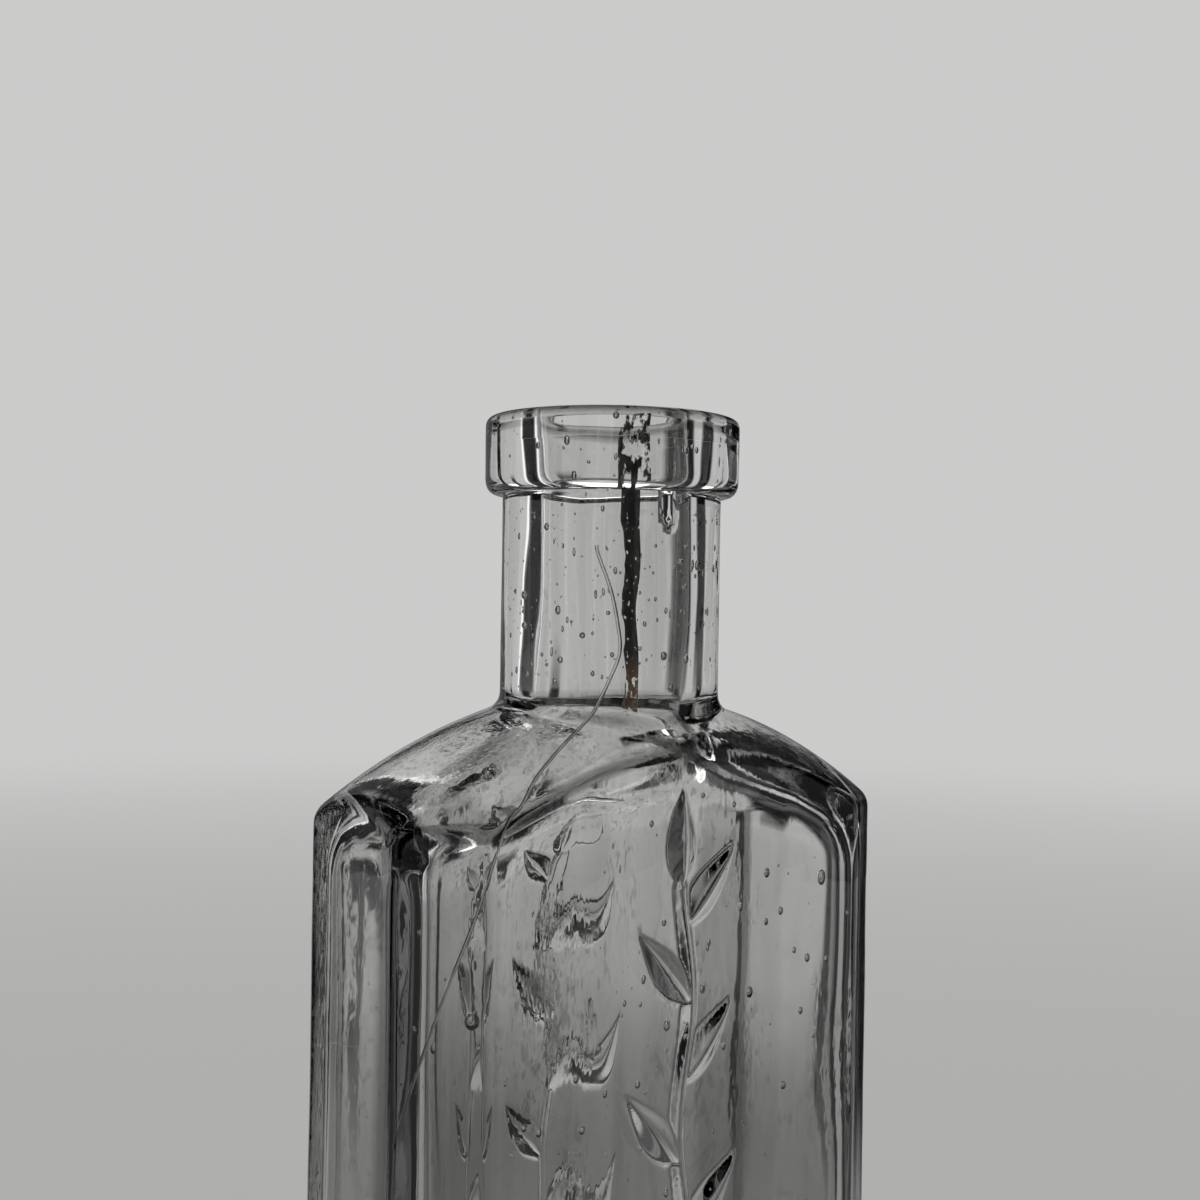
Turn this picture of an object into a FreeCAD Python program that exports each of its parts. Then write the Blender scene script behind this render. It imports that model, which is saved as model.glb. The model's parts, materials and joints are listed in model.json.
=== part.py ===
import FreeCAD, Part
import math
import os

# A mould-blown glass medicine bottle in millimetres: a flat body with cut corners, a domed
# shoulder that turns it into a round neck, and a lip that was laid on the neck as a second piece.
# The origin is the centre of the base, +Z runs up the neck, the width lies along X and the front
# panel faces -Y.

# Body, outside
body_width = 44.0
body_depth = 21.5
corner_along_width = 5.2
corner_along_depth = 4.0
upright_edge_round = 1.0
heel_round = 1.5

# Base
bearing_width = 3.0
push_up_depth = 1.2
push_up_slope_width = 2.5

# Shoulder: its crown is an arc across the width and falls away straighter towards the panels
crown_radius = 38.0
fall_to_panel = 0.9
arris_round = 1.2

# Neck
neck_root_height = 82.5
neck_radius = 8.6
neck_length = 20.5
neck_root_bevel = 0.7

# Lip
lip_radius = 10.0
lip_height = 6.1
lip_cover = 2.0
lip_top_bevel = 0.5
lip_under_round = 1.3

# Inside
bore_radius = 5.9
mouth_radius = 6.5
panel_wall = 2.6
side_wall = 3.0
shoulder_wall = 2.2
floor_thickness = 5.0
inner_corner_round = 4.5
inner_heel_bevel = 2.0
throat_bevel = 1.0

# How finely the shoulder is traced, and how close two heights or radii count as one
shoulder_sections = 6
shoulder_degree = 3
drop_step = 0.05
drop_margin = 1.0
same = 0.01

half_width = body_width / 2
half_depth = body_depth / 2
neck_wall = neck_radius - bore_radius
neck_end = neck_root_height + neck_length
lip_top = neck_end + lip_cover
lip_bottom = lip_top - lip_height
up = FreeCAD.Vector(0, 0, 1)


def at(x, y, z):
    return FreeCAD.Vector(x, y, z)


def ellipse_axes(drop):
    """Half axes of the shoulder's outside, this far below the neck's root."""
    crown_centre = math.sqrt(crown_radius ** 2 - neck_radius ** 2)
    along_width = math.hypot(neck_radius, math.sqrt(drop * (2 * crown_centre - drop)))
    along_depth = neck_radius + fall_to_panel * drop
    return along_width, along_depth


def drop_past(points, wall):
    """The least drop at which the shoulder's ellipse, thinned by wall, holds all the points."""
    drop = 0.0
    reach = 2.0
    while reach > 1.0:
        drop += drop_step
        along_width, along_depth = ellipse_axes(drop)
        reach = max(
            math.hypot(x / (along_width - wall), y / (along_depth - wall)) for x, y in points
        )
    return drop


def dome(top, wall, points):
    """A solid that is domed like the shoulder down past the points and goes straight down after."""
    last = drop_past(points, wall) + drop_margin
    wires = []
    for index in range(shoulder_sections):
        drop = last * (index / (shoulder_sections - 1)) ** 2
        along_width, along_depth = ellipse_axes(drop)
        ellipse = Part.Ellipse(at(0, 0, top - drop), along_width - wall, along_depth - wall)
        wires.append(Part.Wire(ellipse.toShape()))
    skirt = Part.Face(wires[-1]).extrude(at(0, 0, last - top))
    return Part.makeLoft(wires, True, False, False, shoulder_degree).fuse(skirt)


def rounded(points, radius):
    """A closed outline in the plane z = 0 with every corner rounded."""
    corners = [at(x, y, 0) for x, y in points]
    sharp = Part.makePolygon(corners + corners[:1])
    return sharp.makeOffset2D(-radius).makeOffset2D(radius)


def body_corners():
    x_side = half_width
    x_panel = half_width - corner_along_width
    y_side = half_depth - corner_along_depth
    y_panel = half_depth
    return [
        (x_side, -y_side), (x_side, y_side), (x_panel, y_panel), (-x_panel, y_panel),
        (-x_side, y_side), (-x_side, -y_side), (-x_panel, -y_panel), (x_panel, -y_panel),
    ]


def cavity_corners():
    x = half_width - side_wall
    y = half_depth - panel_wall
    return [(x, -y), (x, y), (-x, y), (-x, -y)]


def edges_between(shape, low, high):
    """The edges that lie wholly between two heights and are not upright."""
    found = []
    for edge in shape.Edges:
        box = edge.BoundBox
        upright = max(box.XLength, box.YLength) < same
        if box.ZMin > low and box.ZMax < high and not upright:
            found.append(edge)
    return found


def edges_at(shape, height):
    """The edges that lie in the level plane at this height."""
    return edges_between(shape, height - same, height + same)


def ring_edges(shape, radius, height):
    """The round edges of this radius at this height."""
    rings = [edge for edge in edges_at(shape, height) if isinstance(edge.Curve, Part.Circle)]
    return [edge for edge in rings if abs(edge.Curve.Radius - radius) < same]


def push_up(outline):
    """The shallow hollow under the base, which leaves a flat bearing ring."""
    heel = heel_round + bearing_width
    mouth = outline.makeOffset2D(-heel)
    crown = outline.makeOffset2D(-heel - push_up_slope_width)
    crown.translate(at(0, 0, push_up_depth))
    return Part.makeLoft([mouth, crown], True, True)


def outside():
    corners = body_corners()
    outline = rounded(corners, upright_edge_round)
    prism = Part.Face(outline).extrude(at(0, 0, neck_root_height))
    shell = prism.common(dome(neck_root_height, 0.0, corners))
    shell = shell.makeFillet(heel_round, edges_at(shell, 0.0))
    lowest = neck_root_height - drop_past(corners, 0.0) - drop_margin
    arrises = edges_between(shell, lowest, neck_root_height - same)
    shell = shell.makeFillet(arris_round, arrises)
    neck = Part.makeCylinder(neck_radius, neck_length, at(0, 0, neck_root_height), up)
    shell = shell.fuse(neck)
    shell = shell.makeChamfer(neck_root_bevel, edges_at(shell, neck_root_height))
    return shell.cut(push_up(outline))


def cavity():
    corners = cavity_corners()
    throat_height = neck_root_height - shoulder_wall
    outline = rounded(corners, inner_corner_round)
    outline.translate(at(0, 0, floor_thickness))
    prism = Part.Face(outline).extrude(at(0, 0, throat_height - floor_thickness))
    hollow = prism.common(dome(throat_height, neck_wall, corners))
    hollow = hollow.makeChamfer(inner_heel_bevel, edges_at(hollow, floor_thickness))
    bore = Part.makeCylinder(bore_radius, neck_end - throat_height, at(0, 0, throat_height), up)
    hollow = hollow.fuse(bore)
    return hollow.makeChamfer(throat_bevel, edges_at(hollow, throat_height))


def bottle_body():
    return outside().cut(cavity())


def lip_collar():
    """A ring that sits on the neck's end and wraps its outside, with a mouth that opens upwards."""
    section = Part.makePolygon([
        at(neck_radius, 0, lip_bottom),
        at(lip_radius, 0, lip_bottom),
        at(lip_radius, 0, lip_top - lip_top_bevel),
        at(lip_radius - lip_top_bevel, 0, lip_top),
        at(mouth_radius, 0, lip_top),
        at(bore_radius, 0, neck_end),
        at(neck_radius, 0, neck_end),
        at(neck_radius, 0, lip_bottom),
    ])
    ring = Part.Face(section).revolve(at(0, 0, 0), up, 360)
    return ring.makeFillet(lip_under_round, ring_edges(ring, lip_radius, lip_bottom))


os.makedirs("parts", exist_ok=True)
bottle_body().exportStep("parts/bottle_body.step")
lip_collar().exportStep("parts/lip_collar.step")
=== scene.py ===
import json
import math
import random

import bmesh
import bpy
from mathutils import Matrix, Vector, noise
from mathutils.bvhtree import BVHTree


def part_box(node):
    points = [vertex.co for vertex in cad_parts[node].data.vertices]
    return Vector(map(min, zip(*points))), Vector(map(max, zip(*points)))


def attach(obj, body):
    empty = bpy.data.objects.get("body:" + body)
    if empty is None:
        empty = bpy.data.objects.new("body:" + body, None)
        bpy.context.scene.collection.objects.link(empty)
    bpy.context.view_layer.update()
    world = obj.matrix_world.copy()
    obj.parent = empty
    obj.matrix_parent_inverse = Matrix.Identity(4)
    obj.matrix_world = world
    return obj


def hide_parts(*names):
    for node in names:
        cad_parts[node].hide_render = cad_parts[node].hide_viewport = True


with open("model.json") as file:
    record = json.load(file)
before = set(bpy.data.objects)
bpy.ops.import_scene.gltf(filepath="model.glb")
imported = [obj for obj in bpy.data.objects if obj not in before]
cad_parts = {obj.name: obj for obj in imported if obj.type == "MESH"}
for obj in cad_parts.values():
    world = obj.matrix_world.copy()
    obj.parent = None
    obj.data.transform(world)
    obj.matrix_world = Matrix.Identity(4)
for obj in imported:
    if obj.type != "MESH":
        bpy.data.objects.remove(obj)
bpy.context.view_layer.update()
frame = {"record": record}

# A clear, faintly grey bottle of mould-blown glass with a lip laid on as a second piece.
# Lengths are in metres where a comment or name doesn't say millimetres. The front panel faces -Y.
MM = 0.001

# Sizes from the frame
body_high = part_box("bottle_body")[1]
lip_low, lip_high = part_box("lip_collar")
mounts = {mount["name"]: mount for mount in frame["record"]["mounts"]}
HALF_WIDTH = body_high.x
HALF_DEPTH = body_high.y
NECK_END = body_high.z
LIP_RADIUS = lip_high.x
LIP_BOTTOM = lip_low.z
LIP_TOP = lip_high.z
BORE_RADIUS = mounts["neck_bore"]["dims"]["r_mm"] * MM

# Sizes of the vessel
CORNER_ALONG_WIDTH = 5.2 * MM
CORNER_ALONG_DEPTH = 4.0 * MM
UPRIGHT_EDGE_BEND = 0.55 * MM
NECK_RADIUS = 8.6 * MM
NECK_ROOT = 82.5 * MM
CROWN_RADIUS = 38.0 * MM
FALL_TO_PANEL = 0.9
ROOT_BEND = 1.1 * MM
ARRIS_BEND = 0.9 * MM
HEEL_BEND = 1.8 * MM
BEARING_WIDTH = 2.7 * MM
PUSH_UP_SLOPE = 2.5 * MM
PUSH_UP_DEPTH = 1.2 * MM
SIDE_WALL = 3.0 * MM
PANEL_WALL = 2.6 * MM
SHOULDER_WALL = 2.2 * MM
FLOOR = 5.0 * MM
INNER_HEEL_BEND = 3.5 * MM
INNER_ARRIS_BEND = 3.0 * MM
THROAT_BEND = 1.6 * MM
INNER_SQUARENESS = 7.0
NECK_WALL = NECK_RADIUS - BORE_RADIUS

# Sizes of the lip
MOUTH_RADIUS = BORE_RADIUS
LIP_UNDER_ROUND = 1.3 * MM
LIP_TOP_ROUND = 0.75 * MM
MOUTH_ROUND = 0.6 * MM
JOINT_GAP = 0.008 * MM

# The photograph's view
PHOTO_SIZE = 1200
FOCAL_PIXELS = 1455
CAMERA_AZIMUTH = math.radians(-34.5)
CAMERA_DISTANCE = 115.0 * MM
CAMERA_HEIGHT = 90.8 * MM
CAMERA_LEFT_OF_AXIS = 0.8 * MM
CAMERA_ROLL = math.radians(0.9)
SENSOR_WIDTH_MM = 36.0
NEAREST_SEEN = 1.0 * MM


def lerp(low, high, share):
    return low + (high - low) * share


def smooth_step(low, high, value):
    share = min(max((value - low) / (high - low), 0.0), 1.0)
    return share * share * (3.0 - 2.0 * share)


def bend(start, corner, end, steps):
    """Points along a soft bend from start to end that heads for the corner, both ends left out."""
    points = []
    for index in range(1, steps):
        share = index / steps
        first = [lerp(a, b, share) for a, b in zip(start, corner)]
        second = [lerp(a, b, share) for a, b in zip(corner, end)]
        points.append(tuple(lerp(a, b, share) for a, b in zip(first, second)))
    return points


def straight(start, end, steps):
    """Points from start up to, but without, the end."""
    return [tuple(lerp(a, b, index / steps) for a, b in zip(start, end)) for index in range(steps)]


class Shoulder:
    """One radial line over the domed shoulder, from the neck's root to where it meets the wall."""

    samples = 60
    halvings = 40

    def __init__(self, angle, wall_reach, top, wall):
        self.cosine, self.sine = math.cos(angle), math.sin(angle)
        self.top, self.wall = top, wall
        last = self.drop_at(wall_reach)
        drops = [last * (index / self.samples) ** 2 for index in range(self.samples + 1)]
        self.points = [(self.reach(drop), top - drop) for drop in drops]
        self.lengths = [0.0]
        for near, far in zip(self.points, self.points[1:]):
            self.lengths.append(self.lengths[-1] + math.dist(near, far))

    def reach(self, drop):
        centre = math.sqrt(CROWN_RADIUS ** 2 - NECK_RADIUS ** 2)
        along_width = math.hypot(NECK_RADIUS, math.sqrt(drop * (2 * centre - drop))) - self.wall
        along_depth = NECK_RADIUS + FALL_TO_PANEL * drop - self.wall
        return 1.0 / math.hypot(self.cosine / along_width, self.sine / along_depth)

    def drop_at(self, reach):
        low, high = 0.0, CROWN_RADIUS / 2
        for _ in range(self.halvings):
            middle = (low + high) / 2
            if self.reach(middle) < reach:
                low = middle
            else:
                high = middle
        return high

    def at(self, length):
        """The point this far along the line from the neck's root."""
        for index, end in enumerate(self.lengths[1:]):
            if length <= end:
                start = self.lengths[index]
                share = (length - start) / (end - start)
                pair = zip(self.points[index], self.points[index + 1])
                return tuple(lerp(a, b, share) for a, b in pair)
        return self.points[-1]

    def between(self, start, end, steps):
        return [self.at(lerp(start, end, index / steps)) for index in range(steps)]


# Rows of the mesh along one upright line, how far apart its upright lines stand on the panels, and
# the disc in the middle of the floor that it starts from
COLUMN_STEP = 0.52 * MM
FLOOR_ROWS = 6
INNER_WALL_ROWS = 44
INNER_DOME_ROWS = 8
BORE_ROWS = 16
JOINT_ROWS = 4
NECK_ROWS = 24
DOME_ROWS = 14
WALL_ROWS = 84
FOOT_ROWS = 4
BEND_STEPS = 6
UPRIGHT_EDGE_STEPS = 4
HUB_RADIUS = 1.0 * MM


def body_outline():
    """The body's level outline as (angle, reach) pairs, in order round the axis."""
    x_panel = HALF_WIDTH - CORNER_ALONG_WIDTH
    y_side = HALF_DEPTH - CORNER_ALONG_DEPTH
    quarter = [(HALF_WIDTH, y_side), (x_panel, HALF_DEPTH)]
    half = quarter + [(-x, y) for x, y in reversed(quarter)]
    whole = half + [(-x, -y) for x, y in half]
    bm = bmesh.new()
    corners = [bm.verts.new((x, y, 0.0)) for x, y in whole]
    bm.faces.new(corners)
    bmesh.ops.bevel(
        bm, geom=corners, affect="VERTICES", offset=UPRIGHT_EDGE_BEND, segments=UPRIGHT_EDGE_STEPS,
        profile=0.5, material=-1,
    )
    for edge in list(bm.edges):
        cuts = int(edge.calc_length() / COLUMN_STEP)
        if cuts:
            bmesh.ops.subdivide_edges(bm, edges=[edge], cuts=cuts)
    pairs = [(math.atan2(v.co.y, v.co.x), math.hypot(v.co.x, v.co.y)) for v in bm.verts]
    bm.free()
    return sorted(pairs)


def cavity_reach(angle):
    """How far the blown inside reaches from the axis: a rectangle with very soft corners."""
    along_width = abs(math.cos(angle)) / (HALF_WIDTH - SIDE_WALL)
    along_depth = abs(math.sin(angle)) / (HALF_DEPTH - PANEL_WALL)
    power = INNER_SQUARENESS
    return (along_width ** power + along_depth ** power) ** (-1.0 / power)


def inner_column(angle):
    """(radius, height) pairs up the inside, from near the middle of the floor to the neck's end."""
    reach = cavity_reach(angle)
    throat = NECK_ROOT - SHOULDER_WALL
    line = Shoulder(angle, reach, throat, NECK_WALL)
    edge = line.points[-1]
    before_edge = line.lengths[-1] - INNER_ARRIS_BEND
    floor_end = (reach - INNER_HEEL_BEND, FLOOR)
    wall_start = (reach, FLOOR + INNER_HEEL_BEND)
    wall_end = (reach, edge[1] - INNER_ARRIS_BEND)
    dome_end = line.at(before_edge)
    dome_start = line.at(THROAT_BEND)
    bore_start = (BORE_RADIUS, throat + THROAT_BEND)
    rows = straight((floor_end[0] / FLOOR_ROWS, FLOOR), floor_end, FLOOR_ROWS)
    rows += [floor_end] + bend(floor_end, (reach, FLOOR), wall_start, BEND_STEPS)
    rows += straight(wall_start, wall_end, INNER_WALL_ROWS)
    rows += [wall_end] + bend(wall_end, edge, dome_end, BEND_STEPS)
    rows += line.between(before_edge, THROAT_BEND, INNER_DOME_ROWS)
    rows += [dome_start] + bend(dome_start, (BORE_RADIUS, throat), bore_start, BEND_STEPS)
    rows += straight(bore_start, (BORE_RADIUS, NECK_END), BORE_ROWS)
    return rows + [(BORE_RADIUS, NECK_END)]


def outer_column(angle, reach):
    """(radius, height) pairs down the outside, from the neck's end to near the foot's middle."""
    line = Shoulder(angle, reach, NECK_ROOT, 0.0)
    edge = line.points[-1]
    before_edge = line.lengths[-1] - ARRIS_BEND
    neck_top = (NECK_RADIUS, NECK_END)
    under_lip = (NECK_RADIUS, LIP_BOTTOM)
    neck_foot = (NECK_RADIUS, NECK_ROOT + ROOT_BEND)
    dome_start = line.at(ROOT_BEND)
    dome_end = line.at(before_edge)
    wall_start = (reach, edge[1] - ARRIS_BEND)
    wall_end = (reach, HEEL_BEND)
    bearing_start = (reach - HEEL_BEND, 0.0)
    bearing_end = (reach - HEEL_BEND - BEARING_WIDTH, 0.0)
    slope_end = (bearing_end[0] - PUSH_UP_SLOPE, PUSH_UP_DEPTH)
    rows = straight(neck_top, under_lip, JOINT_ROWS) + straight(under_lip, neck_foot, NECK_ROWS)
    rows += [neck_foot] + bend(neck_foot, (NECK_RADIUS, NECK_ROOT), dome_start, BEND_STEPS)
    rows += line.between(ROOT_BEND, before_edge, DOME_ROWS)
    rows += [dome_end] + bend(dome_end, edge, wall_start, BEND_STEPS)
    rows += straight(wall_start, wall_end, WALL_ROWS)
    rows += [wall_end] + bend(wall_end, (reach, 0.0), bearing_start, BEND_STEPS)
    rows += straight(bearing_start, bearing_end, FOOT_ROWS)
    rows += straight(bearing_end, slope_end, FOOT_ROWS)
    rows += straight(slope_end, (0.0, PUSH_UP_DEPTH), FOOT_ROWS)
    return rows


def next_ring(bm, ring):
    """Extrudes a closed ring of vertices once and returns the new ring in the same order."""
    edges = [bm.edges.get(pair) for pair in zip(ring, ring[1:] + ring[:1])]
    made = bmesh.ops.extrude_edge_only(bm, edges=edges)["geom"]
    new = {item for item in made if isinstance(item, bmesh.types.BMVert)}
    return [next(e.other_vert(v) for e in v.link_edges if e.other_vert(v) in new) for v in ring]


# The painted shade on the shoulder's bend fades towards the back, where it would show through the front
# panel
BACK_SHADE_FADE = (0.9 * HALF_DEPTH, 0.5 * HALF_DEPTH)


def blown_shell(bm, outside, edge):
    """The vessel's whole skin in one run of rings: floor, inside, neck's end, outside and foot.

    It marks the outside, and the painted shade along the bend where the shoulder meets the walls.
    """
    outline = body_outline()
    angles = [angle for angle, reach in outline]
    columns = [inner_column(angle) + outer_column(angle, reach) for angle, reach in outline]
    inner_rows = len(inner_column(0.0))
    arris_row = inner_rows + JOINT_ROWS + NECK_ROWS + BEND_STEPS + DOME_ROWS
    disc = bmesh.ops.create_circle(
        bm, cap_ends=True, cap_tris=True, segments=len(outline), radius=HUB_RADIUS)
    ring = [v for v in disc["verts"] if v.co.length > HUB_RADIUS / 2]
    ring.sort(key=lambda v: math.atan2(v.co.y, v.co.x))
    for vert in disc["verts"]:
        vert.co.z = FLOOR
    for index, row in enumerate(zip(*columns)):
        if index:
            ring = next_ring(bm, ring)
        for vert, angle, (radius, height) in zip(ring, angles, row):
            vert.co = (radius * math.cos(angle), radius * math.sin(angle), height)
            vert[outside] = float(index >= inner_rows)
            # Painted shade: how much deep grey the glass takes at the shoulder's bend
            bend_share = min(max((index - arris_row) / BEND_STEPS, 0.0), 1.0)
            vert[edge] = math.sqrt(abs(math.sin(math.pi * bend_share)))
            vert[edge] *= smooth_step(*BACK_SHADE_FADE, vert.co.y)
    last = next_ring(bm, ring)
    for vert in last:
        vert[outside] = 1.0
    bmesh.ops.pointmerge(bm, verts=last, merge_co=(0.0, 0.0, PUSH_UP_DEPTH))
    bmesh.ops.recalc_face_normals(bm, faces=bm.faces)


# The leaf spray moulded in relief on the front and back panels
SPRAY_FOOT = 12.0 * MM
SPRAY_HEAD = 70.0 * MM
LEAF_PITCH = 5.8 * MM
LEAF_LENGTH = 7.4 * MM
LEAF_HALF_WIDTH = 1.4 * MM
LEAF_LEAN = math.radians(40.0)
LEAF_UNDERHANG = 1.0 * MM
LEAF_BELLY = 0.7
LEAF_CROWN = 0.5
STEM_HALF_WIDTH = 0.75 * MM
STEM_SWAY = 0.5 * MM
STEM_SWAY_LENGTH = 19.0 * MM
STEM_RISE = 0.7
STEM_TAPER = 2.0 * MM
RIDGE_SOFTNESS = 0.2
SPRAY_MARGIN = 0.32 * MM
RELIEF_PROUD = 0.28 * MM
RELIEF_CUTS = 3

# The shallow hollow of the panel that the spray lies in: where it starts and where it is full
PANEL_HOLLOW = 0.6 * MM
PANEL_FLATNESS = 0.05 * MM
HOLLOW_SIDES = (10.0 * MM, 5.0 * MM)
HOLLOW_FOOT = (6.0 * MM, 11.0 * MM)
HOLLOW_HEAD = (79.0 * MM, 75.0 * MM)


def stem_x(height):
    return STEM_SWAY * math.sin(math.tau * height / STEM_SWAY_LENGTH)


def spray_leaves():
    """Each leaf's root and the way it points, on a panel seen from outside."""
    leaves = [(stem_x(SPRAY_HEAD), SPRAY_HEAD, 0.0, 1.0)]
    count = int((SPRAY_HEAD - SPRAY_FOOT) / LEAF_PITCH)
    for index in range(count):
        height = SPRAY_FOOT + LEAF_PITCH * (index + 0.5)
        side = 1.0 if index % 2 else -1.0
        leaves.append((stem_x(height), height, side * math.sin(LEAF_LEAN), math.cos(LEAF_LEAN)))
    return leaves


LEAVES = spray_leaves()


def ridge(across):
    """A roof-like section with a softened top: 1 in the middle, 0 at the edge."""
    edge = math.hypot(1.0, RIDGE_SOFTNESS)
    return max(edge - math.hypot(across, RIDGE_SOFTNESS), 0.0) / (edge - RIDGE_SOFTNESS)


def spray_rise(x, height):
    """The spray's height over the panel as a share of the full relief."""
    rise = 0.0
    if SPRAY_FOOT < height < SPRAY_HEAD:
        across = abs(x - stem_x(height)) / STEM_HALF_WIDTH
        taper = smooth_step(SPRAY_FOOT, SPRAY_FOOT + STEM_TAPER, height)
        rise = STEM_RISE * taper * ridge(across)
    for root_x, root_height, way_x, way_up in LEAVES:
        if not -LEAF_UNDERHANG < height - root_height < LEAF_LENGTH:
            continue
        along = ((x - root_x) * way_x + (height - root_height) * way_up) / LEAF_LENGTH
        if 0.0 < along < 1.0:
            fullness = math.sin(math.pi * along ** LEAF_BELLY)
            across = abs((x - root_x) * way_up - (height - root_height) * way_x)
            leaf = fullness ** LEAF_CROWN * ridge(across / (LEAF_HALF_WIDTH * fullness))
            rise = max(rise, leaf)
    return rise


def near_spray(x, height):
    """Whether the spray or its edge passes close by."""
    steps = (-SPRAY_MARGIN, 0.0, SPRAY_MARGIN)
    return any(spray_rise(x + across, height + up) for across in steps for up in steps)


def on_panel(point):
    """Whether a point lies on the front or back panel, within the hollow's width."""
    return abs(point.y) > HALF_DEPTH - PANEL_FLATNESS and abs(point.x) < HOLLOW_SIDES[0]


def panel_x(point):
    """The distance to the right of a panel's middle, seen from outside that panel."""
    return point.x if point.y < 0 else -point.x


def refine(bm, faces, cuts):
    """Divides some faces finely and cuts the many-sided ones next to them into triangles."""
    edges = list({edge for face in faces for edge in face.edges})
    bmesh.ops.subdivide_edges(bm, edges=edges, cuts=cuts, use_grid_fill=True)
    bmesh.ops.triangulate(bm, faces=[face for face in bm.faces if len(face.verts) > 4])


# A run of glass that set under the lip
DRIP_AZIMUTH = math.radians(-5.2)
DRIP_LENGTH = 2.6 * MM
DRIP_HALF_WIDTH = 0.55 * MM
DRIP_HEIGHT = 0.55 * MM
DRIP_UNDER_LIP = 0.2
DRIP_WAIST = 0.75
DRIP_BELLY = 0.5
DRIP_CUTS = 2
ON_NECK = 0.1 * MM


def outward(azimuth):
    """The level direction at an angle from the front, positive to the right."""
    return Vector((math.sin(azimuth), -math.cos(azimuth), 0.0))


def inside_drip(point):
    """How far a point of the neck lies inside the drip, from 1 at its middle to 0 at its edge."""
    sideways = outward(DRIP_AZIMUTH + math.pi / 2)
    if point.dot(outward(DRIP_AZIMUTH)) < 0:
        return 0.0
    down = (LIP_BOTTOM - point.z) / DRIP_LENGTH
    if not -DRIP_UNDER_LIP < down < 1.0:
        return 0.0
    half_width = DRIP_HALF_WIDTH * math.sqrt(1.0 - down) * (DRIP_WAIST + DRIP_BELLY * down)
    return max(1.0 - abs(point.dot(sideways)) / half_width, 0.0)


# Unevenness of the glass: its height, then the (width, tallness, seed) of its swells
OUTER_SWELL = 0.05 * MM
OUTER_SWELL_FORM = (6.0 * MM, 1.8, 3.1)
OUTER_RIPPLE = 0.012 * MM
OUTER_RIPPLE_FORM = (1.7 * MM, 1.6, 8.4)
INNER_SWELL = 0.22 * MM
INNER_SWELL_FORM = (5.5 * MM, 2.6, 5.2)
INNER_RIPPLE = 0.025 * MM
INNER_RIPPLE_FORM = (2.0 * MM, 2.2, 1.9)
LIP_SWELL = 0.06 * MM
LIP_SWELL_FORM = (4.0 * MM, 0.8, 7.7)
SEED_SLIDE = (1.7, 0.6)

# How far from the foot, from the lip and from the neck's end the glass stays even
EVEN_FOOT = (1.0 * MM, 5.0 * MM)
EVEN_UNDER_LIP = 2.0 * MM
EVEN_NECK_END = 3.0 * MM


def swell(point, width, tallness, seed):
    """Smooth seeded noise from -1 to 1, with swells so wide and so many times as tall."""
    offset = Vector((seed, seed * SEED_SLIDE[0], seed * SEED_SLIDE[1]))
    return noise.noise(Vector((point.x, point.y, point.z / tallness)) / width + offset)


def outer_wave(point):
    hold = smooth_step(*EVEN_FOOT, point.z)
    hold *= 1 - smooth_step(LIP_BOTTOM - EVEN_UNDER_LIP, LIP_BOTTOM, point.z)
    wave = OUTER_SWELL * swell(point, *OUTER_SWELL_FORM)
    return hold * (wave + OUTER_RIPPLE * swell(point, *OUTER_RIPPLE_FORM))


def inner_wave(point):
    hold = 1 - smooth_step(NECK_END - EVEN_NECK_END, NECK_END, point.z)
    wave = INNER_SWELL * swell(point, *INNER_SWELL_FORM)
    return hold * (wave + INNER_RIPPLE * swell(point, *INNER_RIPPLE_FORM))


def shape_by_hand(bm, outside):
    """Moves the skin: the spray in relief, the drip, and the unevenness of blown glass."""
    bm.normal_update()
    moves = []
    for vert in bm.verts:
        point = vert.co
        if vert[outside] < 0.5:
            moves.append(vert.normal * inner_wave(point))
            continue
        move = vert.normal * outer_wave(point)
        if on_panel(point):
            hollow = PANEL_HOLLOW * smooth_step(*HOLLOW_SIDES, abs(point.x))
            hollow *= smooth_step(*HOLLOW_FOOT, point.z) * smooth_step(*HOLLOW_HEAD, point.z)
            rise = (hollow + RELIEF_PROUD) * spray_rise(panel_x(point), point.z) - hollow
            move.y += rise if point.y > 0 else -rise
        drip = inside_drip(point) if point.xy.length < NECK_RADIUS + ON_NECK else 0.0
        if drip:
            move += vert.normal * DRIP_HEIGHT * math.sqrt(1 - (1 - drip) ** 2)
        moves.append(move)
    for vert, move in zip(bm.verts, moves):
        vert.co += move


def add_island(bm, island, slot, hollow):
    """Adds a separate closed shape to a mesh; a hollow one is a pocket of air in the glass."""
    bmesh.ops.recalc_face_normals(island, faces=island.faces)
    if hollow:
        bmesh.ops.reverse_faces(island, faces=island.faces)
    for face in island.faces:
        face.material_index = slot
    carrier = bpy.data.meshes.new("carrier")
    island.to_mesh(carrier)
    island.free()
    bm.from_mesh(carrier)
    bpy.data.meshes.remove(carrier)


STEP_INTO_GLASS = 0.02 * MM


def wall_at(tree, azimuth, height):
    """The inner and outer face of the wall at an angle and height, as two points."""
    way = outward(azimuth)
    inner = tree.ray_cast(Vector((0.0, 0.0, height)), way)[0]
    outer = tree.ray_cast(inner + way * STEP_INTO_GLASS, way)[0]
    return inner, outer


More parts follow.
